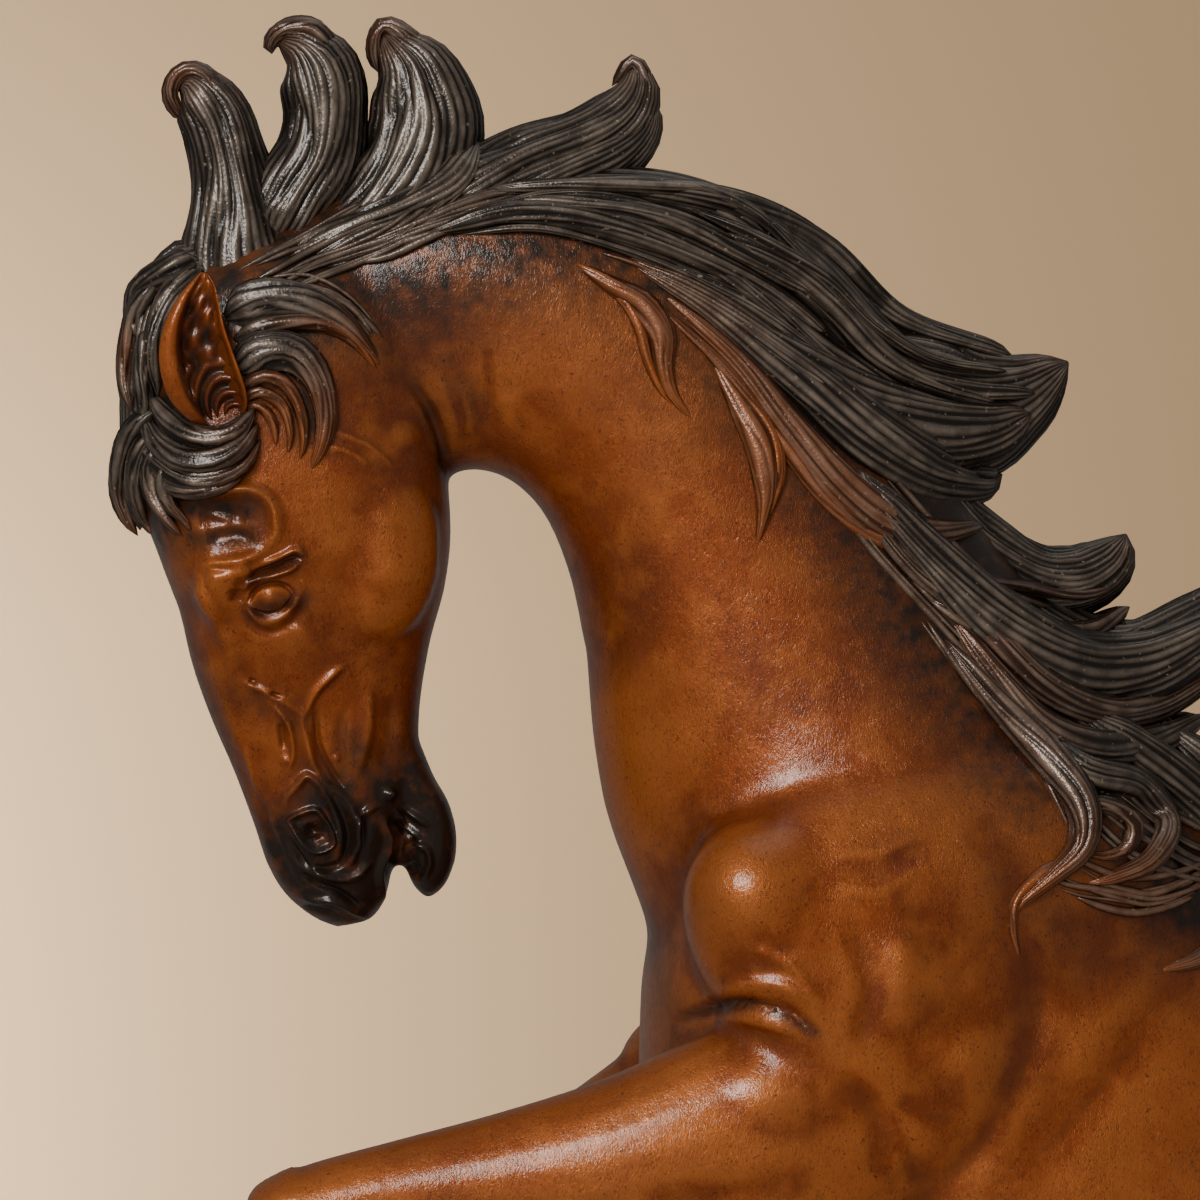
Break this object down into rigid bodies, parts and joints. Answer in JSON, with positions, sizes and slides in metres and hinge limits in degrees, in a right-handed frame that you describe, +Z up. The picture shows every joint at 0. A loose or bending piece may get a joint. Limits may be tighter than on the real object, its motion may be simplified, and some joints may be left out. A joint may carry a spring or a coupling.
{
  "type": "rearing horse statuette",
  "caption": "Cast bronze horse rearing on its hind legs, head tucked and mane blown back in flame-like locks, on a low oval bronze base.",
  "frame": {"origin": "middle of the base's flat underside", "axes": "+Z up; the horse faces -X and its left side is towards -Y"},
  "size_m": [0.3192, 0.112, 0.4389],
  "materials": {
    "brown_patina": "cast bronze with a waxed red-brown patina, satin, darker in the hollows",
    "dark_patina": "cast bronze with a near-black brown patina, semi-gloss, rubbed brown on the edges"
  },
  "bodies": {
    "root": {"horse": "brown_patina", "base": "dark_patina"}
  },
  "joints": []
}
